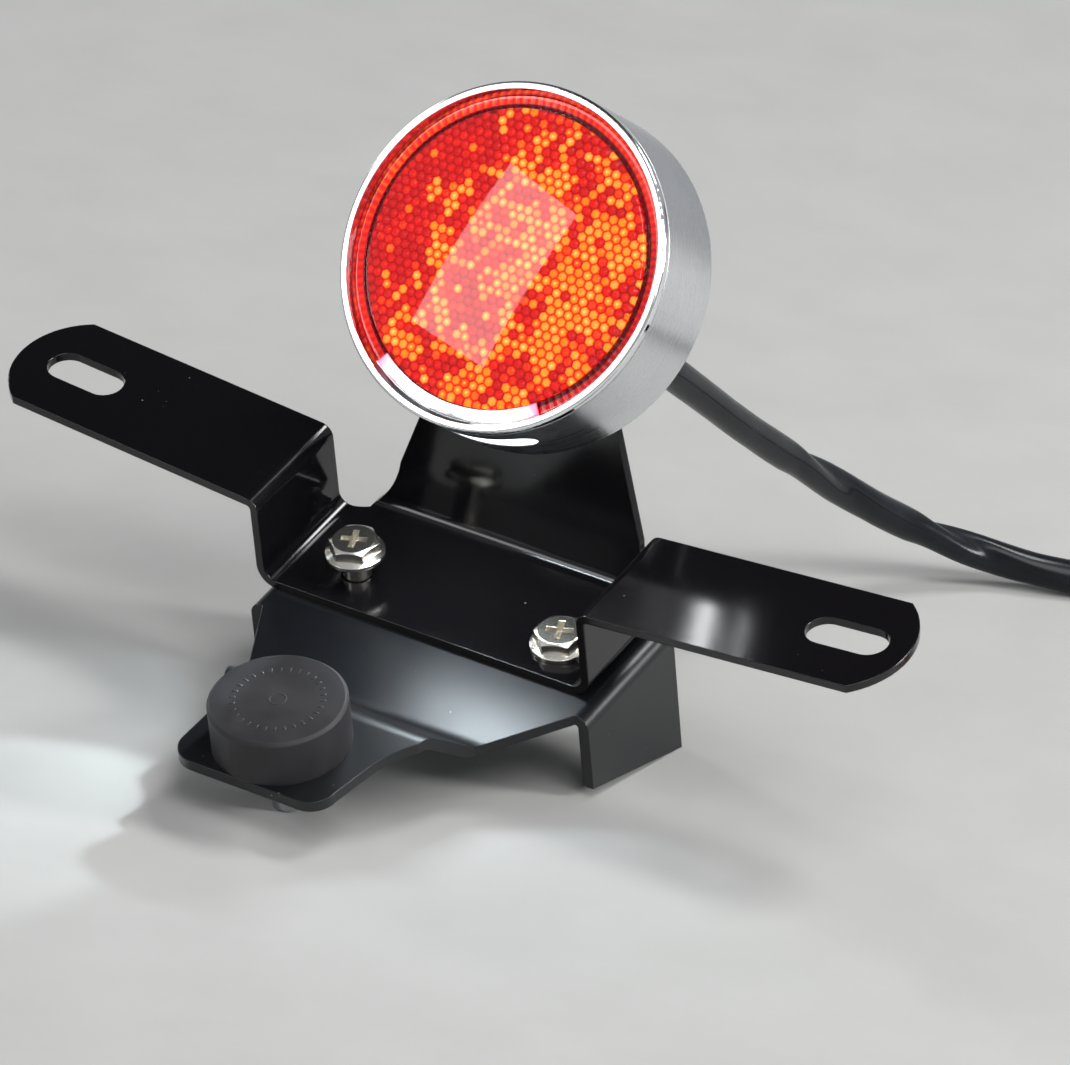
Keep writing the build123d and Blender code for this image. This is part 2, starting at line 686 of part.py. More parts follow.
# seen from above: back from the lamp, down to the table, then round to the right
cable_bends = [
    (20.4, 52.0, 53.8),
    (21.5, 73.0, 39.7),
    (23.1, 91.0, 28.4),
    (26.6, 106.0, 18.8),
    (30.9, 118.0, 11.7),
    (38.4, 127.9, 6.4),
    (49.0, 134.8, 3.6),
    (61.0, 140.7, CABLE_REST),
    (75.5, 145.6, CABLE_REST),
    (93.0, 145.9, CABLE_REST),
    (109.5, 138.8, CABLE_REST + 0.2),
    (120.0, 125.6, SLEEVE_REST),
    (124.5, 109.3, SLEEVE_REST),
]
cable_route = [tuple(cable_start), tuple(cable_first)]
cable_route += [(ORIGIN_SHIFT_X + x, ORIGIN_SHIFT_Y + y, z) for x, y, z in cable_bends]
cable_end = cable_route[-1]
with BuildPart() as cable_sheath:
    cord_tube(cable_route, CABLE_R, "cable_sheath")
write(cable_sheath, "cable_sheath")

# a frame at the cable's end: x along it, y to its left, z up
along = (Vector(cable_end) - Vector(cable_route[-2])).normalized()
tail = Plane(origin=cable_end, x_dir=along, z_dir=(0, 0, 1)).location
tail_section = Plane(origin=(0, 0, 0), x_dir=(0, 1, 0), z_dir=(1, 0, 0))

with BuildPart() as cable_end_sleeve:
    sleeve_start = placed(tail * Location((SLEEVE_PAST_END - SLEEVE_LENGTH, 0, 0)), tail_section)
    with BuildSketch(sleeve_start):
        Circle(SLEEVE_R)
        Circle(CABLE_R, mode=Mode.SUBTRACT)
    extrude(amount=SLEEVE_LENGTH)
write(cable_end_sleeve, "cable_end_sleeve")

# three conductors fan out from the sheath and end in bullet terminals
wire_rest = WIRE_R + 0.1 - cable_end[2]
bullet_rest = BULLET_R + 0.2 - cable_end[2]
wire_fans = (
    ("wire_red", core_places[0], (1.2, 0.4, -2.0)),
    ("wire_black", core_places[1], (-3.5, -8.5, -12.5)),
    ("wire_yellow", core_places[2], (5.0, 9.0, 10.0)),
)
bullet_places = []
for name, (across, up), (fan_first, fan_second, fan_end) in wire_fans:
    local_route = [
        (0, across, up),
        (11.0, across, up),
        (23.0, fan_first, wire_rest),
        (35.0, fan_second, bullet_rest),
        (46.0, fan_end, bullet_rest),
    ]
    route = [tuple((tail * Location(point)).position) for point in local_route]
    with BuildPart() as wire:
        cord_tube(route, WIRE_R, name)
    write(wire, name)
    heading = (Vector(route[-1]) - Vector(route[-2])).normalized()
    bullet_places.append(Plane(origin=route[-1], z_dir=heading))

CRIMP_R = 1.7
CRIMP_LENGTH = 5.0
BULLET_LENGTH = 9.0
with BuildPart() as bullet_terminals:
    for place in bullet_places:
        ring(place.offset(-CRIMP_LENGTH), CRIMP_R, WIRE_R, CRIMP_LENGTH)
        ring(place, BULLET_R, 0, BULLET_LENGTH)
        rims = bullet_terminals.edges().filter_by(GeomType.CIRCLE)
        fillet(rims.sort_by_distance(place.offset(BULLET_LENGTH).origin)[0], 1.2)
write(bullet_terminals, "bullet_terminals")
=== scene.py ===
"""Looks for the round tail light on its number-plate bracket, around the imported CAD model.

Lengths named in capitals are in millimetres unless a comment says otherwise; Blender's are metres.
"""

import math
import random

import bmesh
import bpy
from mathutils import Matrix, Vector, noise


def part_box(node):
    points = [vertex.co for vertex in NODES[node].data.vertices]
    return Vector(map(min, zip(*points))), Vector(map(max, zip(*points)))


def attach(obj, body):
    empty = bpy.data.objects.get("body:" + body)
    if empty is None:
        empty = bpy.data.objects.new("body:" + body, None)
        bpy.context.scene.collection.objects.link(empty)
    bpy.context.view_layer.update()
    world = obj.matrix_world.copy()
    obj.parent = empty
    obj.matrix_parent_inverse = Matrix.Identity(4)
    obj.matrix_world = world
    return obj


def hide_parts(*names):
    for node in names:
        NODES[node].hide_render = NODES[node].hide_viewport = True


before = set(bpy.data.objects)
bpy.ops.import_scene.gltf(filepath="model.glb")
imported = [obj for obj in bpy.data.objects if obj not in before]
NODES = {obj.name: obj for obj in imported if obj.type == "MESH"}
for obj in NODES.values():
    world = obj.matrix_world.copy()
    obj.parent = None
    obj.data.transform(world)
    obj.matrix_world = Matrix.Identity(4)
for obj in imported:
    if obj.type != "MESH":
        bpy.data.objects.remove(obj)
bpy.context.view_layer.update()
MM = 0.001
scene = bpy.context.scene
scene.view_settings.view_transform = "Standard"


# ---------------------------------------------------------------- camera
CAM_AZIMUTH, CAM_ELEVATION, CAM_ROLL = (math.radians(a) for a in (29.59, 23.19, 6.38))
CAM_PLACE = Vector((0.64073, -1.08479, 0.58233))    # metres
CAM_LENS = 275.9
CAM_SENSOR = 36.0
forward = Vector((
    -math.sin(CAM_AZIMUTH) * math.cos(CAM_ELEVATION),
    math.cos(CAM_AZIMUTH) * math.cos(CAM_ELEVATION),
    -math.sin(CAM_ELEVATION),
))
level = forward.cross(Vector((0, 0, 1))).normalized()
upright = level.cross(forward)
right = math.cos(CAM_ROLL) * level + math.sin(CAM_ROLL) * upright
up = -math.sin(CAM_ROLL) * level + math.cos(CAM_ROLL) * upright
camera = bpy.data.objects.new("camera", bpy.data.cameras.new("camera"))
camera.data.lens = CAM_LENS
camera.data.sensor_width = CAM_SENSOR
camera.data.sensor_fit = "HORIZONTAL"
camera.data.clip_end = 50
turn = Matrix((right, up, -forward)).transposed()
camera.matrix_world = Matrix.Translation(CAM_PLACE) @ turn.to_4x4()
scene.collection.objects.link(camera)
scene.camera = camera


# ---------------------------------------------------------------- meshes
def link(obj):
    scene.collection.objects.link(obj)
    return obj


def mesh_object(name, verts, faces, smooth=True):
    mesh = bpy.data.meshes.new(name)
    mesh.from_pydata([tuple(v) for v in verts], [], faces)
    mesh.validate()
    if smooth:
        mesh.shade_smooth()
    return link(bpy.data.objects.new(name, mesh))


def paint(obj, material):
    obj.data.materials.clear()
    obj.data.materials.append(material)
    return obj


def turned_faces(first, steps, across, hub=None):
    """Quads round a profile of points that is turned through a full circle, and its hub's fan."""
    faces = []
    for step in range(steps):
        here, there = first + step * across, first + (step + 1) % steps * across
        if hub is not None:
            faces.append((hub, here, there))
        for at in range(across - 1):
            faces.append((here + at, here + at + 1, there + at + 1, there + at))
    return faces


def tube_faces(first, rings, sides):
    """Quads between closed rings of points that follow one another."""
    faces = []
    for ring in range(rings - 1):
        here, there = first + ring * sides, first + (ring + 1) * sides
        for corner in range(sides):
            after = (corner + 1) % sides
            faces.append((here + corner, here + after, there + after, there + corner))
    return faces


# ---------------------------------------------------------------- nodes
LIT = "lit"              # the colour attribute that holds how brightly the lens's points glow, painted glints and painted shade included


class Shader:
    """One material and the few kinds of node that these finishes need."""

    def __init__(self, name, colour, roughness, **sockets):
        self.material = bpy.data.materials.new(name)
        self.material.use_nodes = True
        self.tree = self.material.node_tree
        self.bsdf = self.tree.nodes["Principled BSDF"]
        self.set("Base Color", (*colour, 1))
        self.set("Roughness", roughness)
        for key, value in sockets.items():
            self.set(key.replace("_", " "), value)
        self.place = self.tree.nodes.new("ShaderNodeTexCoord").outputs["Object"]

    def feed(self, socket, value):
        """A link where the value is another node's output, and a constant elsewhere."""
        if isinstance(value, bpy.types.NodeSocket):
            self.tree.links.new(value, socket)
        else:
            socket.default_value = value

    def set(self, socket, value):
        self.feed(self.bsdf.inputs[socket], value)

    def node(self, kind, **inputs):
        made = self.tree.nodes.new(kind)
        for key, value in inputs.items():
            self.feed(made.inputs[key.replace("_", " ")], value)
        return made

    def noise(self, scale, detail=3.0, roughness=0.55, where=None, distortion=0.0):
        made = self.node("ShaderNodeTexNoise", Vector=where or self.place, Scale=scale,
                         Detail=detail, Roughness=roughness, Distortion=distortion)
        return made.outputs["Fac"]

    def stretched(self, scale):
        return self.node("ShaderNodeMapping", Vector=self.place, Scale=scale).outputs["Vector"]

    def cells(self, scale):
        made = self.node("ShaderNodeTexVoronoi", Vector=self.place, Scale=scale)
        return made.outputs["Distance"]

    def spread(self, value, low, high, to_low=0.0, to_high=1.0):
        made = self.node("ShaderNodeMapRange", Value=value, From_Min=low, From_Max=high,
                         To_Min=to_low, To_Max=to_high)
        return made.outputs["Result"]

    def maths(self, how, a, b=0.0):
        made = self.tree.nodes.new("ShaderNodeMath")
        made.operation = how
        self.feed(made.inputs[0], a)
        self.feed(made.inputs[1], b)
        return made.outputs[0]

    def vectors(self, how, a, b):
        made = self.tree.nodes.new("ShaderNodeVectorMath")
        made.operation = how
        self.feed(made.inputs[0], a)
        self.feed(made.inputs[1], b)
        return made.outputs["Value" if how == "DOT_PRODUCT" else "Vector"]

    def mix(self, factor, a, b):
        """A colour between a and b, each a colour or a node's output."""
        made = self.tree.nodes.new("ShaderNodeMix")
        made.data_type = "RGBA"
        self.feed(made.inputs[0], factor)
        for socket, value in ((made.inputs[6], a), (made.inputs[7], b)):
            self.feed(socket, (*value, 1) if isinstance(value, tuple) else value)
        return made.outputs[2]

    def ramp(self, value, *stops):
        made = self.node("ShaderNodeValToRGB", Fac=value)
        band = made.color_ramp
        while len(band.elements) < len(stops):
            band.elements.new(0.5)
        for element, (at, colour) in zip(band.elements, stops):
            element.position = at
            element.color = (*colour, 1)
        return made.outputs["Color"]

    def bump(self, height, strength, distance, radius=0.0):
        """Fine relief, over edges softened by radius; both lengths are in metres."""
        made = self.node("ShaderNodeBump", Height=height, Strength=strength, Distance=distance)
        if radius:
            self.feed(made.inputs["Normal"], self.rounded(radius))
        self.set("Normal", made.outputs["Normal"])

    def rounded(self, radius):
        made = self.node("ShaderNodeBevel", Radius=radius)
        made.samples = 6
        return made.outputs["Normal"]

    def edges(self, radius):
        """1 along sharp edges, 0 on flat metal."""
        there = self.node("ShaderNodeNewGeometry").outputs["Normal"]
        along = self.vectors("DOT_PRODUCT", self.rounded(radius), there)
        return self.spread(self.maths("SUBTRACT", 1.0, along), 0.02, 0.25)

    def lit(self):
        """The brightness stored on the lens's points."""
        made = self.tree.nodes.new("ShaderNodeVertexColor")
        made.layer_name = LIT
        return made.outputs["Color"]


def tinted(colour, factor, lift=0.0):
    return tuple(c * factor + lift for c in colour)


# ---------------------------------------------------------------- materials
def gloss_coat(name, base, gloss=(0.09, 0.19)):
    """Glossy black powder coat: faint orange peel, dust specks, a rubbed edge."""
    rubbed, dusty = (0.07, 0.07, 0.08), (0.28, 0.28, 0.3)
    s = Shader(name, base, 0.08, IOR=1.5)
    smudge = s.spread(s.noise(28, 5, 0.6), 0.35, 0.75)
    s.set("Roughness", s.spread(smudge, 0, 1, *gloss))
    specks = s.spread(s.cells(420), 0.0, 0.085, 1.0, 0.0)
    sparse = s.spread(s.noise(60, 2), 0.56, 0.64)
    dust = s.maths("MULTIPLY", specks, sparse)
    wear = s.spread(s.noise(240, 4), 0.45, 0.62, 0, 0.35)
    edge = s.maths("MULTIPLY", s.edges(0.0003), wear)
    s.set("Base Color", s.mix(dust, s.mix(edge, base, rubbed), dusty))
    s.bump(s.noise(900, 2), 0.06, 0.00004, 0.00035)
    return s.material


def bright_metal(name, colour, rough, radius=0.0002):
    """Metal with fine scratches, fingerprints in its gloss and softened edges."""
    s = Shader(name, colour, 0.15, Metallic=1.0)
    scratches = s.noise(4200, 2, 0.5)
    marks = s.noise(70, 4, 0.5)
    s.set("Roughness", s.maths("ADD", s.spread(scratches, 0.3, 0.7, *rough),
                               s.spread(marks, 0.45, 0.75, 0, 0.05)))
    s.set("Base Color", s.mix(s.spread(marks, 0.35, 0.7), colour, tinted(colour, 0.82)))
    s.bump(scratches, 0.05, 0.00001, radius)
    return s.material


def lathe_turned():
    """Satin turned aluminium: fine rings round the lamp's own axis."""
    s = Shader("brushed_body", (0.72, 0.73, 0.75), 0.3, Metallic=1.0, Anisotropic=0.35)
    along = s.vectors("DOT_PRODUCT", s.place, tuple(LAMP_AXIS))
    depth = s.node("ShaderNodeCombineXYZ", X=along)
    rings = s.noise(5200, 2, 0.7, depth.outputs["Vector"])
    marks = s.noise(45, 5, 0.6)
    s.set("Roughness", s.maths("ADD", s.spread(rings, 0.3, 0.7, 0.24, 0.3),
                               s.spread(marks, 0.5, 0.8, 0, 0.08)))
    pale, dark = (0.76, 0.77, 0.79), (0.62, 0.63, 0.66)
    s.set("Base Color", s.mix(s.spread(marks, 0.4, 0.75), pale, dark))
    s.bump(rings, 0.015, 0.00002, 0.0003)
    return s.material


def bezel_metal():
    """Polished ring. The ends of the crescent at its foot take on the lens's red, a painted
    reflection, and dark streaks painted over the crescent are a painted reflection of darker
    surroundings.
    """
    colour, dark_reflection_colour, painted_red_reflection = (0.9, 0.9, 0.91), (0.10, 0.105, 0.12), (0.80, 0.10, 0.16)
    s = Shader("polished_bezel", colour, 0.05, Metallic=1.0)
    marks = s.noise(160, 4, 0.6)
    from_back = s.vectors("SUBTRACT", s.place, tuple(LAMP_BACK))
    aside, above = (s.vectors("DOT_PRODUCT", from_back, tuple(axis))
                    for axis in (LAMP_SIDE, LAMP_UP))
    squares = [s.maths("MULTIPLY", part, part) for part in (aside, above)]
    radius = s.maths("SQRT", s.maths("ADD", *squares))
    # these limits are in metres, from the lamp's axis
    crescent = s.spread(radius, 0.0279, 0.0283, 1, 0)
    # painted reflection: the lens's red painted onto the crescent's two ends
    ends = s.spread(s.maths("ABSOLUTE", aside), 0.0105, 0.0155)
    ends = s.maths("MULTIPLY", ends, crescent)
    ends = s.maths("MULTIPLY", ends, s.spread(above, -0.018, -0.016, 1, 0))
    # painted reflection: dark streaks over the crescent, which also give it relief
    streaks = s.noise(130, 3, 0.55, s.stretched((0.5, 1.6, 1.6)), distortion=0.6)
    painted_dark_streaks = s.maths("MULTIPLY", s.spread(streaks, 0.40, 0.60), crescent)
    s.set("Base Color", s.mix(ends, s.mix(painted_dark_streaks, colour, dark_reflection_colour), painted_red_reflection))
    s.set("Roughness", s.spread(marks, 0.4, 0.75, 0.03, 0.1))
    s.bump(s.maths("MULTIPLY", streaks, crescent), 0.3, 0.0003, 0.0003)
    return s.material


def rubber(name, base, bloomed):
    """Moulded rubber with a fine grain, paler along its sharp edges."""
    rough = 0.6
    s = Shader(name, base, rough, Specular_IOR_Level=0.4)
    bloom = s.spread(s.noise(90, 5, 0.6), 0.4, 0.75)
    # paler along the sharp edges
    pale_edges = s.maths("MULTIPLY", s.edges(0.0005), 0.55)
    s.set("Base Color", s.mix(pale_edges, s.mix(bloom, base, bloomed), tinted(bloomed, 2.4)))
    s.set("Roughness", s.spread(bloom, 0, 1, rough - 0.1, rough + 0.12))
    s.bump(s.noise(700, 4, 0.65), 0.2, 0.00008, 0.0004)
    return s.material


def vinyl(name, base, rough=(0.18, 0.34), waves=300, shine=0.55):
    """Soft extruded plastic with shallow waves and a slightly uneven gloss."""
    s = Shader(name, base, 0.25, Specular_IOR_Level=shine)
    patch = s.noise(120, 4, 0.55)
    s.set("Roughness", s.spread(patch, 0.35, 0.7, *rough))
    s.set("Base Color", s.mix(s.spread(patch, 0.4, 0.8), base, tinted(base, 1.5, 0.004)))
    s.bump(s.noise(waves, 3), 0.18, 0.00012)
    return s.material


def glowing(name, base, glow, strength):
    """Clear resin lit from inside, a little brighter in spots."""
    s = Shader(name, base, 0.25)
    spots = s.noise(500, 3)
    bright = tuple(min(1, c * 1.15) for c in glow)
    s.set("Emission Color", s.mix(s.spread(spots, 0.4, 0.7), glow, bright))
    s.set("Emission Strength", s.spread(spots, 0.3, 0.75, strength * 0.85, strength * 1.1))
    s.bump(spots, 0.08, 0.00005)
    return s.material


# ---------------------------------------------------------------- the lamp's own frame
LAMP_BACK = Vector((0.00285, 0.034446, 0.0766871))    # middle of its back, metres
LAMP_TILT = math.radians(27.9)
LAMP_AXIS = Vector((0, -math.cos(LAMP_TILT), math.sin(LAMP_TILT)))
LAMP_UP = Vector((0, math.sin(LAMP_TILT), math.cos(LAMP_TILT)))
LAMP_SIDE = Vector((1, 0, 0))


def on_lamp(a, b, z):
    """A point across, up and out from the middle of the lamp's back, in millimetres."""
    return LAMP_BACK + MM * (a * LAMP_SIDE + b * LAMP_UP + z * LAMP_AXIS)


# ---------------------------------------------------------------- lens
DISC_R = 25.6            # the raised disc, and the height of its edge above the lamp's back
DISC_EDGE = 18.8
DOME = 1.5               # how much higher the disc's middle is than its edge
RIM_TOP = 18.2
RIM_R = 28.3
COVER_R = 27.8           # the clear cover's edge, under the bezel
GROOVE = 0.5             # width and depth of the groove round the disc
SKIN = 0.75              # the clear skin in front of the cells

CELL_PITCH = 1.68
CELL_DOME = 0.42
CELL_LEAN = 0.03
CELL_CORNERS = 12
CELL_RINGS = (0.28, 0.56, 0.80, 0.95, 1.0)
CELLS_R = DISC_R - 0.15  # cells that cross this circle are cut off at it
CELL_EDGE = 0.74         # from here out, a cell darkens towards its boundary, painted shade in the creases between cells
CELL_EDGE_SHADE = 0.62
GLINT_SHARE = 0.45       # of the lit cells, those with a painted glint, a point of light painted into their tone
GLINT_FROM = 0.45        # the tone from which a cell counts as lit
GLINT_LIFT = 0.45
GLINT_HALO = 0.10

FLUTES = 120
FLUTE_DEPTH = 0.3
FLUTE_TOP = RIM_TOP - 0.35
FLUTE_RADII = (25.5, 26.0, 26.5, 26.65, 27.3, RIM_R - 0.4)
FLUTES_FROM = 26.55      # the groove, painted dark as shade, ends here


def dome(r):
    return DISC_EDGE + DOME * (1 - (r / DISC_R) ** 2)


def heat(a, b, cell):
    """How brightly a cell is lit: red at the left and top edges, amber to the right."""
    angle = math.atan2(b, a)
    r = math.hypot(a, b) / DISC_R
    value = 0.55 + 0.15 * a / DISC_R - 0.03 * b / DISC_R
    # broad patches, then clusters of a few cells
    value += 0.42 * noise.noise(Vector((a * 0.17 + 3.1, b * 0.17 + 9.4, 2.7)))
    value += 0.72 * noise.noise(Vector((a * 0.42 + 7.7, b * 0.42, 5.2)))
    # darker at the upper left edge, and a little darker all round it
    left_top = max(0.0, math.cos(angle - math.radians(150)))
    value -= 0.52 * left_top * max(0.0, r - 0.62) / 0.38
    value -= 0.16 * max(0.0, r - 0.86) / 0.14
    value += 0.22 * (cell - 0.5)
    share = min(1.0, max(0.0, (value - 0.36) / 0.24))
    return 0.30 + 0.42 * share * share * (3 - 2 * share) + 0.12 * (cell - 0.5)


def lens_cells():
    """Small hexagonal lenses in a honeycomb behind the clear face, one dome each."""
    draw = random.Random(11)
    verts, faces, tones = [], [], []
    row_pitch = CELL_PITCH * math.sqrt(3) / 2
    rows = int(DISC_R / row_pitch) + 1
    for row in range(-rows, rows + 1):
        for column in range(-rows, rows + 1):
            a = CELL_PITCH * (column + (row % 2) / 2)
            b = CELL_PITCH * row * math.sqrt(3) / 2
            out = math.hypot(a, b)
            if out > DISC_R + 0.3:
                continue
            base = dome(out) - SKIN
            tone = heat(a, b, draw.random())
            lean = draw.uniform(-CELL_LEAN, CELL_LEAN), draw.uniform(-CELL_LEAN, CELL_LEAN)
            first = len(verts)
            inside = min(1.0, CELLS_R / max(0.01, out))
            verts.append(on_lamp(a * inside, b * inside, base))
            # painted highlight: some lit cells get a glint painted into their tone, brightest at
            # the top
            painted_glint = draw.random() < GLINT_SHARE and tone > GLINT_FROM
            tones.append(tone + (GLINT_LIFT if painted_glint else 0.0))
            for ring in CELL_RINGS:
                for corner in range(CELL_CORNERS):
                    degrees = 30 * corner
                    angle = math.radians(degrees)
                    # the hexagon's reach this way, eased to a circle near the cell's top
                    flat = 1 / math.cos(math.radians(degrees % 60 - 30))
                    reach = CELL_PITCH * 0.5 * ring * (1 + (flat - 1) * ring)
                    x, y = reach * math.sin(angle), reach * math.cos(angle)
                    drop = CELL_DOME * ring**2.2 + lean[0] * x + lean[1] * y
                    px, py = a + x, b + y
                    size = math.hypot(px, py)
                    if size > CELLS_R:
                        px, py = px * CELLS_R / size, py * CELLS_R / size
                    verts.append(on_lamp(px, py, base - drop))
                    # painted shade towards each cell's boundary, in the creases between the cells
                    darker = CELL_EDGE_SHADE * max(0, ring - CELL_EDGE) / (1 - CELL_EDGE)
                    halo = GLINT_HALO if painted_glint and ring < 0.3 else 0.0
                    tones.append(tone * (1 - darker) + halo)
            for corner in range(CELL_CORNERS):
                after = (corner + 1) % CELL_CORNERS
                faces.append((first, first + 1 + after, first + 1 + corner))
                for ring in range(len(CELL_RINGS) - 1):
                    here = first + 1 + CELL_CORNERS * ring
                    there = here + CELL_CORNERS
                    faces.append((here + corner, here + after, there + after, there + corner))
    obj = mesh_object("lens_cells", verts, faces)
    layer = obj.data.color_attributes.new(LIT, "FLOAT_COLOR", "POINT")
    for at, tone in enumerate(tones):
        layer.data[at].color = (tone, tone, tone, 1)
    return obj


def rim_flutes():
    """The lens's lower rim, its back moulded in fine radial flutes."""
    verts, tones = [], []
    for step in range(FLUTES * 2):
        angle = math.pi * step / FLUTES
        depth = FLUTE_DEPTH if step % 2 else 0.0
        # painted shade in the flutes' valleys, which get a darker tone than the ridges; the ring
        # is also painted brighter towards the upper left
        lit = 0.62 if step % 2 else 0.98
        lit *= 0.82 + 0.18 * math.cos(angle - math.radians(140))
        for r in FLUTE_RADII:
            verts.append(on_lamp(r * math.cos(angle), r * math.sin(angle), FLUTE_TOP - depth))
            # painted shade: the groove inside FLUTES_FROM gets the darkest tone
            tones.append(lit if r > FLUTES_FROM else 0.0)
    faces = turned_faces(0, FLUTES * 2, len(FLUTE_RADII))
    obj = mesh_object("lens_rim_flutes", verts, faces, smooth=False)
    layer = obj.data.color_attributes.new(LIT, "FLOAT_COLOR", "POINT")
    for at, tone in enumerate(tones):
        layer.data[at].color = (tone, tone, tone, 1)
    return obj


def lathe(name, profile):
    """A disc turned round the lamp's axis. The profile starts at its middle, r = 0."""
    steps = 192
    verts = [on_lamp(0, 0, profile[0][1])]
    for step in range(steps):
        angle = 2 * math.pi * step / steps
        for r, z in profile[1:]:
            verts.append(on_lamp(r * math.cos(angle), r * math.sin(angle), z))
    return mesh_object(name, verts, turned_faces(1, steps, len(profile) - 1, hub=0))


def lens_backing():
    """The red moulding behind the honeycomb."""
    depth = SKIN + CELL_DOME + 0.1
    return lathe("lens_backing", [(r, dome(r) - depth) for r in (0, 4, 8, 12, 16, 20, 23, 25.5)])


def lens_cover():
    """The clear front: the domed disc, the groove round it and the lower rim."""
    floor_of_groove = RIM_TOP - GROOVE
    profile = [(r, dome(r)) for r in (0, 2, 4, 7, 10, 13, 16, 19, 21.5, 23.5, 25.0)]
    profile += [
        (25.35, dome(25.35)), (25.52, dome(25.45) - 0.05), (DISC_R, dome(DISC_R) - 0.14),
        (DISC_R, floor_of_groove + 0.1), (DISC_R + 0.1, floor_of_groove),
        (DISC_R + GROOVE - 0.1, floor_of_groove), (DISC_R + GROOVE, floor_of_groove + 0.1),
        (DISC_R + GROOVE, RIM_TOP - 0.1), (DISC_R + GROOVE + 0.1, RIM_TOP), (COVER_R, RIM_TOP),
    ]
    return lathe("lens_cover", profile)


# ---------------------------------------------------------------- lens materials
def cells_material():
    s = Shader("lens_cell_red", (0.7, 0.02, 0.01), 0.22, Specular_IOR_Level=0.4)
    grain = s.spread(s.noise(2600, 2, 0.6), 0.3, 0.7, -0.06, 0.06)
    tone = s.maths("ADD", s.lit(), grain)
    colour = s.ramp(
        tone,
        (0.0, (0.16, 0.0, 0.004)), (0.16, (0.42, 0.0, 0.004)), (0.33, (0.78, 0.006, 0.003)),
        (0.50, (0.94, 0.09, 0.002)), (0.68, (1.0, 0.33, 0.007)), (1.0, (1.0, 0.80, 0.20)),
    )
    s.set("Base Color", s.mix(0.7, colour, (0.35, 0.004, 0.004)))
    s.set("Emission Color", colour)
    s.set("Emission Strength", s.spread(tone, 0.0, 0.6, 0.6, 0.92))
    return s.material


def flute_material():
    s = Shader("lens_rim_red", (0.75, 0.02, 0.012), 0.2, Emission_Strength=0.75)
    wide = s.noise(60, 3)
    tone = s.maths("ADD", s.lit(), s.spread(wide, 0.3, 0.7, -0.16, 0.12))
    colour = s.ramp(
        tone,
        (0.0, (0.06, 0.0, 0.004)), (0.45, (0.45, 0.0, 0.006)),
        (0.75, (0.85, 0.02, 0.006)), (1.0, (0.98, 0.16, 0.012)),
    )
    s.set("Base Color", colour)
    s.set("Emission Color", colour)
    s.set("Roughness", s.spread(wide, 0.3, 0.7, 0.14, 0.3))
    return s.material


def backing_material():
    s = Shader("lens_backing_red", (0.4, 0.004, 0.004), 0.35, Emission_Strength=0.5)
    blend = s.spread(s.noise(400, 3), 0.3, 0.7)
    colour = s.mix(blend, (0.16, 0.0, 0.003), (0.34, 0.0, 0.004))
    s.set("Base Color", colour)
    s.set("Emission Color", colour)
    return s.material


def cover_material():
    s = Shader("lens_clear_red", (1.0, 0.82, 0.82), 0.02, IOR=1.49, Transmission_Weight=1.0)
    s.set("Roughness", s.spread(s.noise(60, 4), 0.4, 0.8, 0.0, 0.05))
    return s.material


# ---------------------------------------------------------------- the cable
SHEATH_D = 6.0
SHEATH_ROUTE = (
    (20.85, 26.543, 73.516), (20.85, 39.358, 66.730), (21.25, 59.342, 53.8),
    (22.35, 80.342, 39.7), (23.95, 98.342, 28.4), (27.45, 113.342, 18.8),
    (31.75, 125.342, 11.7), (39.25, 135.242, 6.4), (49.85, 142.142, 3.6),
    (61.85, 148.042, 3.1), (76.35, 152.942, 3.1), (93.85, 153.242, 3.1),
    (110.35, 146.142, 3.3), (120.85, 132.942, 3.6), (125.35, 116.642, 3.6),
)
WIRE_D = 1.8
WIRES = {
    "wire_red": ((125.35, 116.642, 4.7), (128.277, 106.039, 4.7), (132.628, 94.790, 1.0),
                 (135.050, 83.010, 2.2), (135.664, 71.769, 2.2)),
    "wire_black": ((124.431, 116.388, 3.05), (127.358, 105.785, 3.05), (128.097, 93.540, 1.0),
                   (126.471, 80.642, 2.2), (125.543, 68.974, 2.2)),
    "wire_yellow": ((126.269, 116.896, 3.05), (129.196, 106.293, 3.05), (136.291, 95.802, 1.0),
                    (143.339, 85.299, 2.2), (147.231, 74.962, 2.2)),
}

# creases that wind from the cable's top to its underside: where along it each starts and ends,
# and its depth as a share of the radius
TWISTS = ((77, 99, 0.42), (119, 138, 0.44), (160, 178, 0.24), (196, 212, 0.22))
SHEATH_STEP = 1.0
SHEATH_SIDES = 40


def route_curve(name, points):
    curve = bpy.data.curves.new(name, "CURVE")
    curve.dimensions = "3D"
    curve.resolution_u = 24
    spline = curve.splines.new("NURBS")
    spline.points.add(len(points) - 1)
    for knot, place in zip(spline.points, points):
        knot.co = (*(MM * c for c in place), 1)
    spline.order_u = 3
    spline.use_endpoint_u = True
    return link(bpy.data.objects.new(name, curve))


def route_line(name, points):
    """The points of the route's own smooth line."""
    guide = route_curve(name, points)
    bpy.context.view_layer.update()
    mesh = bpy.data.meshes.new_from_object(guide)
    line = [v.co.copy() for v in mesh.vertices]
    bpy.data.objects.remove(guide)
    return line


def arc_lengths(line):
    along = [0.0]
    for before, here in zip(line, line[1:]):
        along.append(along[-1] + (here - before).length)
    return along


def at_distance(line, along, distance):
    """The place and heading at a distance along the line."""
    for here in range(1, len(line)):
        if along[here] >= distance or here == len(line) - 1:
            step = along[here] - along[here - 1]
            share = (distance - along[here - 1]) / step if step else 0
            heading = (line[here] - line[here - 1]).normalized()
            return line[here - 1].lerp(line[here], min(1, max(0, share))), heading


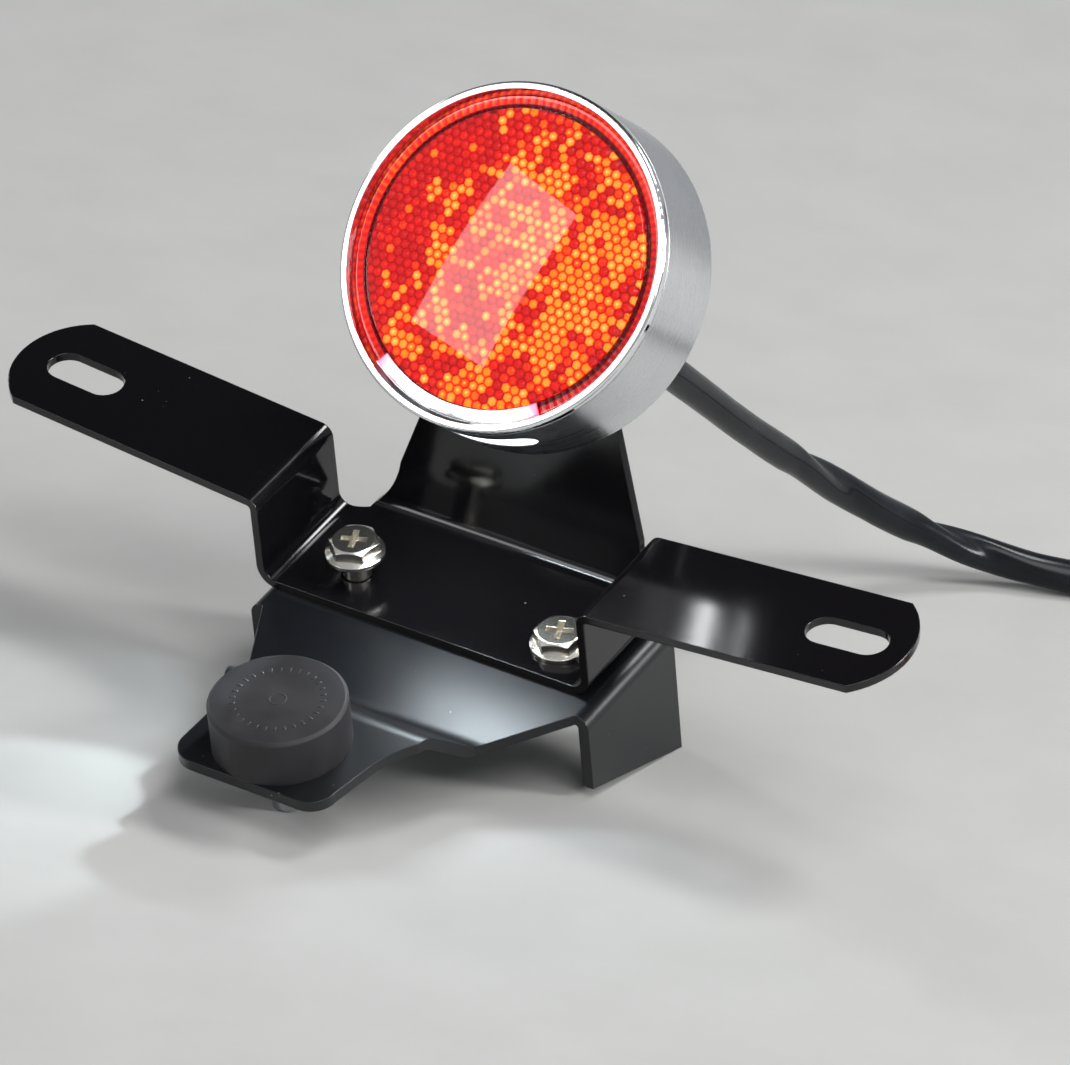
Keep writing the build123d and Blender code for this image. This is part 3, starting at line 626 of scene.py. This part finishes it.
def sheath_reach(mm, angle):
    """The soft sheath's radius, over that of a round one."""
    reach = 1.0
    for start, end, depth in TWISTS:
        t = (mm - start) / (end - start)
        if t < 0:
            fade = math.exp(-(((start - mm) / 3.5) ** 2))
        elif t < 1:
            fade = 1 - 0.62 * t
        else:
            fade = 0.38 * math.exp(-(((mm - end) / 6) ** 2))
        away = angle - math.radians(268 + 125 * min(1.2, max(-0.2, t)))
        # pressed in at the crease and a little opposite it, and swollen between
        reach -= depth * fade * max(0.0, math.cos(away)) ** 4
        reach -= 0.25 * depth * fade * max(0.0, -math.cos(away)) ** 3
        reach += 0.14 * depth * fade * math.sin(away) ** 2
    # a long shallow flat before the first crease
    flat = 0.13 * math.exp(-(((mm - 52) / 20) ** 2))
    reach -= flat * max(0.0, math.cos(angle - math.radians(300))) ** 2
    ripple = noise.noise(Vector((mm * 0.11, math.cos(angle) * 0.8, math.sin(angle) * 0.8)))
    return reach * (1 + 0.022 * ripple)


def sheath_mesh(line):
    """A soft sleeve over three conductors: it flattens and twists at the creases."""
    along = arc_lengths(line)
    count = int(along[-1] / (SHEATH_STEP * MM))
    verts = []
    side = Vector((1, 0, 0))
    radius = SHEATH_D / 2 * MM
    for step in range(count + 1):
        distance = along[-1] * step / count
        centre, heading = at_distance(line, along, distance)
        side = (side - heading * side.dot(heading)).normalized()
        other = heading.cross(side)
        for corner in range(SHEATH_SIDES):
            angle = 2 * math.pi * corner / SHEATH_SIDES
            reach = sheath_reach(distance / MM, angle)
            spot = math.cos(angle) * side + math.sin(angle) * other
            verts.append(centre + radius * reach * spot)
    faces = tube_faces(0, count + 1, SHEATH_SIDES)
    faces.append(tuple(reversed(range(SHEATH_SIDES))))
    faces.append(tuple(range(count * SHEATH_SIDES, (count + 1) * SHEATH_SIDES)))
    return mesh_object("cable_sheath_creased", verts, faces)


sheath_line = route_line("sheath_guide", SHEATH_ROUTE)
sheath = sheath_mesh(sheath_line)
paint(sheath, vinyl("sheath_black", (0.005, 0.006, 0.008), (0.2, 0.3), shine=0.22))
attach(sheath, "root")
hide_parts("cable_sheath")


# ---------------------------------------------------------------- wires and bullets
# distance past the wire's end and radius: barrel, waist, ringed body and round tip
BULLET_PROFILE = (
    (-5.2, 0.95), (-5.2, 1.5), (-4.9, 1.68), (-1.0, 1.68), (-0.5, 1.3), (0.2, 1.2), (0.6, 1.55),
    (0.9, 1.95), (2.6, 1.98), (2.9, 1.72), (3.5, 1.72), (3.8, 1.98), (7.2, 1.98), (8.2, 1.6),
    (8.8, 0.9), (9.0, 0.0),
)
BULLET_SIDES = 32


def terminal(name, end, heading):
    """A bullet whose crimped barrel is pressed flatter on two sides."""
    side = Vector((0, 0, 1)).cross(heading).normalized()
    other = heading.cross(side)
    verts = []
    for z, r in BULLET_PROFILE:
        for corner in range(BULLET_SIDES):
            angle = 2 * math.pi * corner / BULLET_SIDES
            pressed = 1.0
            if -4.6 < z < -0.9:
                pressed = 0.86 + 0.14 * abs(math.cos(angle))
            spot = side * math.cos(angle) + other * math.sin(angle)
            verts.append(end + MM * (z * heading + r * pressed * spot))
    obj = mesh_object(name, verts, tube_faces(0, len(BULLET_PROFILE), BULLET_SIDES))
    # the tip's last ring is a single point
    bm = bmesh.new()
    bm.from_mesh(obj.data)
    bmesh.ops.remove_doubles(bm, verts=bm.verts, dist=1e-6)
    bm.to_mesh(obj.data)
    bm.free()
    return obj


tin = bright_metal("terminal_tin", (0.72, 0.66, 0.52), (0.2, 0.26))
WIRE_COLOURS = {
    "wire_red": (0.55, 0.01, 0.012),
    "wire_black": (0.012, 0.012, 0.013),
    "wire_yellow": (0.75, 0.48, 0.02),
}
for name, points in WIRES.items():
    line = route_line(name + "_guide", points)
    wire = route_curve(name + "_core", points)
    wire.data.bevel_depth = WIRE_D / 2 * MM
    wire.data.bevel_resolution = 6
    wire.data.use_fill_caps = True
    wire.data.materials.append(vinyl(name, WIRE_COLOURS[name], (0.3, 0.45), waves=900))
    heading = (line[-1] - line[-2]).normalized()
    bullet = terminal(name.replace("wire", "bullet"), line[-1], heading)
    paint(bullet, tin)
    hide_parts("bullet_terminals")
    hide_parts(name)
    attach(bullet, "root")
    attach(wire, "root")


# ---------------------------------------------------------------- the lens's pieces
for piece, material in (
    (lens_cells(), cells_material()), (lens_backing(), backing_material()),
    (rim_flutes(), flute_material()), (lens_cover(), cover_material()),
):
    paint(piece, material)
    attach(piece, "root")
    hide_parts("tail_lens")


# ---------------------------------------------------------------- finishes on the CAD pieces
ZINC, ZINC_DARKER, ZINC_DULL = (0.66, 0.67, 0.69), (0.62, 0.63, 0.65), (0.5, 0.5, 0.52)
ZINC_GLOSS = (0.22, 0.27)
PLAIN_RUBBER = ((0.012, 0.012, 0.012), (0.03, 0.03, 0.03))
BOARD_GREEN = (0.02, 0.16, 0.07)
FINISHES = {
    "lamp_housing": lathe_turned(),
    "bezel_ring": bezel_metal(),
    "lens_gasket": rubber("gasket_black", (0.01, 0.01, 0.01), (0.03, 0.03, 0.03)),
    "reflector_tray": vinyl("white_tray", (0.8, 0.8, 0.78)),
    "led_board": vinyl("board_green", BOARD_GREEN),
    "plate_light_board": vinyl("board_green_small", BOARD_GREEN),
    "tail_leds": glowing("led_resin", (0.8, 0.05, 0.03), (1.0, 0.12, 0.05), 1.0),
    "plate_light_window": glowing("window_clear", (0.95, 0.97, 1.0), (0.86, 0.94, 1.0), 2.5),
    "plate_light_leds": glowing("plate_led", (1, 1, 0.95), (0.9, 0.96, 1.0), 8.0),
    "lamp_studs": bright_metal("zinc_studs", ZINC, ZINC_GLOSS),
    "lamp_stud_washers": bright_metal("zinc_washers", ZINC, ZINC_GLOSS),
    "lamp_stud_nuts": bright_metal("zinc_nuts", ZINC, (0.2, 0.26)),
    "weld_nuts": bright_metal("zinc_weld", ZINC_DULL, (0.34, 0.42)),
    "buffer_stud": bright_metal("zinc_stud", ZINC_DARKER, ZINC_GLOSS),
    "buffer_washer": bright_metal("zinc_washer", ZINC_DARKER, ZINC_GLOSS),
    "buffer_nut": bright_metal("zinc_nut", ZINC_DARKER, ZINC_GLOSS),
    "lamp_pad": rubber("rubber_pad", *PLAIN_RUBBER),
    "cable_grommet": rubber("rubber_grommet", *PLAIN_RUBBER),
    "inner_leads": vinyl("lead_tin", (0.5, 0.5, 0.48)),
    "upper_bracket": gloss_coat("coat_upper", (0.004, 0.0035, 0.0042)),
    "lower_bracket": gloss_coat("coat_lower", (0.004, 0.0045, 0.006), (0.31, 0.41)),
    "bracket_screws": bright_metal("nickel_screw", (0.88, 0.84, 0.75), (0.19, 0.25), 0.00025),
    "rubber_buffer": rubber("rubber_buffer", (0.014, 0.013, 0.015), (0.024, 0.022, 0.025)),
    "cable_end_sleeve": vinyl("sleeve_black", (0.014, 0.014, 0.015)),
}
for name, material in FINISHES.items():
    paint(NODES[name], material)


# ---------------------------------------------------------------- plain marks on the buffer
BRACKET_TILT = math.radians(18.4)
PUCK_UP = Vector((0, -math.sin(BRACKET_TILT), math.cos(BRACKET_TILT)))
PUCK_FRONT = Vector((0, math.cos(BRACKET_TILT), math.sin(BRACKET_TILT)))
PUCK_HEIGHT = 8.8
puck_low, puck_high = (Vector(corner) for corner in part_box("rubber_buffer"))
PUCK_TOP = (puck_low + puck_high) / 2 + PUCK_HEIGHT / 2 * MM * PUCK_UP
SUNK = -0.05             # the marks' feet are this far inside the rubber
STUDS = 30
STUDS_R = 7.6


def puck_marks():
    """Low raised rings and a ring of plain studs, moulded on the rubber's top."""
    verts, faces = [], []

    def spot(angle, r, z):
        across, along = r * math.cos(angle), r * math.sin(angle)
        return PUCK_TOP + MM * (across * LAMP_SIDE + along * PUCK_FRONT + z * PUCK_UP)

    def band(r, width, height, steps=72):
        first = len(verts)
        profile = ((-width, SUNK), (-width * 0.6, height * 0.8), (0, height),
                   (width * 0.6, height * 0.8), (width, SUNK))
        for step in range(steps):
            for off, z in profile:
                verts.append(spot(2 * math.pi * step / steps, r + off, z))
        faces.extend(turned_faces(first, steps, len(profile)))

    def stud(angle, r, half_wide, half_long, height):
        first = len(verts)
        for grow, z in ((1.0, SUNK), (0.85, height * 0.8), (0.5, height)):
            for x, y in ((-1, -1), (1, -1), (1, 1), (-1, 1)):
                verts.append(spot(angle + x * grow * half_wide / r, r + y * grow * half_long, z))
        faces.extend(tube_faces(first, 3, 4))
        faces.append(tuple(range(first + 8, first + 12)))

    band(1.4, 0.28, 0.16)
    band(10.4, 0.22, 0.10, 120)
    for index in range(STUDS):
        stud(2 * math.pi * index / STUDS, STUDS_R, 0.3, 0.62, 0.14)
    return mesh_object("puck_mould_marks", verts, faces)


marks = paint(puck_marks(), FINISHES["rubber_buffer"])
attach(marks, "root")


# ---------------------------------------------------------------- floor
def floor():
    """A plain pale floor, 7 m square."""
    verts = [(x, y, 0) for y in (-3, 4) for x in (-3.5, 3.5)]
    obj = mesh_object("floor", verts, [(0, 1, 3, 2)])
    s = Shader("floor_pale", (0.40, 0.40, 0.39), 0.85, Specular_IOR_Level=0.2)
    blotch = s.spread(s.noise(40, 5, 0.6), 0.3, 0.7)
    s.set("Base Color", s.mix(blotch, (0.39, 0.39, 0.38), (0.415, 0.415, 0.405)))
    s.bump(s.noise(500, 4), 0.1, 0.0001)
    paint(obj, s.material)


floor()


# ---------------------------------------------------------------- light
def aim(obj, place, target):
    obj.location = place
    obj.rotation_euler = (Vector(target) - Vector(place)).to_track_quat("-Z", "Y").to_euler()


def panel(name, place, target, size, power, colour=(1, 1, 1)):
    data = bpy.data.lights.new(name, "AREA")
    data.shape = "RECTANGLE"
    data.size, data.size_y = size
    data.energy = power
    data.color = colour
    aim(link(bpy.data.objects.new(name, data)), place, target)


# places and sizes here are in metres, and powers in watts
LENS_MIDDLE = on_lamp(0, 0, 19)
LAMP_MIDDLE = on_lamp(0, 0, 10)
BRACKET_MIDDLE = (0, 0.02, 0.03)
TO_LENS_SOFTBOX = 2.0 * Vector((-0.475, -0.758, 0.447))
TO_RIGHT_SOFTBOX = 1.1 * Vector((0.87, 0.31, 0.37))
panel("lens_softbox", LENS_MIDDLE + TO_LENS_SOFTBOX, LENS_MIDDLE, (0.33, 0.57), 2.7)
panel("key_softbox", (0.9, -0.75, 1.5), BRACKET_MIDDLE, (1.1, 1.1), 19)
panel("top_softbox", (0.45, 0.55, 1.5), BRACKET_MIDDLE, (0.5, 0.35), 11)
panel("right_softbox", LAMP_MIDDLE + TO_RIGHT_SOFTBOX, LAMP_MIDDLE, (0.22, 0.28), 9)
panel("left_softbox", (-1.4, 0.25, 0.55), (0, 0, 0.05), (0.3, 0.5), 5)

# the number plate's light, just outside its window in the housing's wall
WINDOW_FACE = on_lamp(0, -30.5, 11.5)
panel("plate_light", WINDOW_FACE, WINDOW_FACE - LAMP_UP, (0.026, 0.005), 0.026, (0.82, 0.93, 1.0))
beam = bpy.data.lights.new("plate_beam", "SPOT")
beam.energy, beam.color = 0.26, (0.82, 0.95, 1.0)
beam.spot_size, beam.spot_blend, beam.shadow_soft_size = math.radians(38), 0.4, 0.002
beam_object = link(bpy.data.objects.new("plate_beam", beam))
aim(beam_object, on_lamp(-8, -31, 11.5), (-0.035, -0.07, 0))


def studio_world():
    """A soft pale room with a dark flag overhead to the left, which the black plates mirror."""
    toward_flag = Vector((-0.48, 0.40, 0.78)).normalized()
    room, flag = (0.62, 0.64, 0.67, 1), (0.05, 0.05, 0.055, 1)
    world = bpy.data.worlds.new("studio")
    scene.world = world
    world.use_nodes = True
    tree = world.node_tree
    sky = tree.nodes["Background"]
    where = tree.nodes.new("ShaderNodeTexCoord")
    toward = tree.nodes.new("ShaderNodeVectorMath")
    toward.operation = "DOT_PRODUCT"
    toward.inputs[1].default_value = tuple(toward_flag)
    tree.links.new(where.outputs["Generated"], toward.inputs[0])
    ramp = tree.nodes.new("ShaderNodeValToRGB")
    ramp.color_ramp.interpolation = "EASE"
    for element, position, colour in zip(ramp.color_ramp.elements, (0.72, 0.95), (room, flag)):
        element.position, element.color = position, colour
    tree.links.new(toward.outputs["Value"], ramp.inputs[0])
    tree.links.new(ramp.outputs[0], sky.inputs["Color"])
    sky.inputs["Strength"].default_value = 0.6


studio_world()
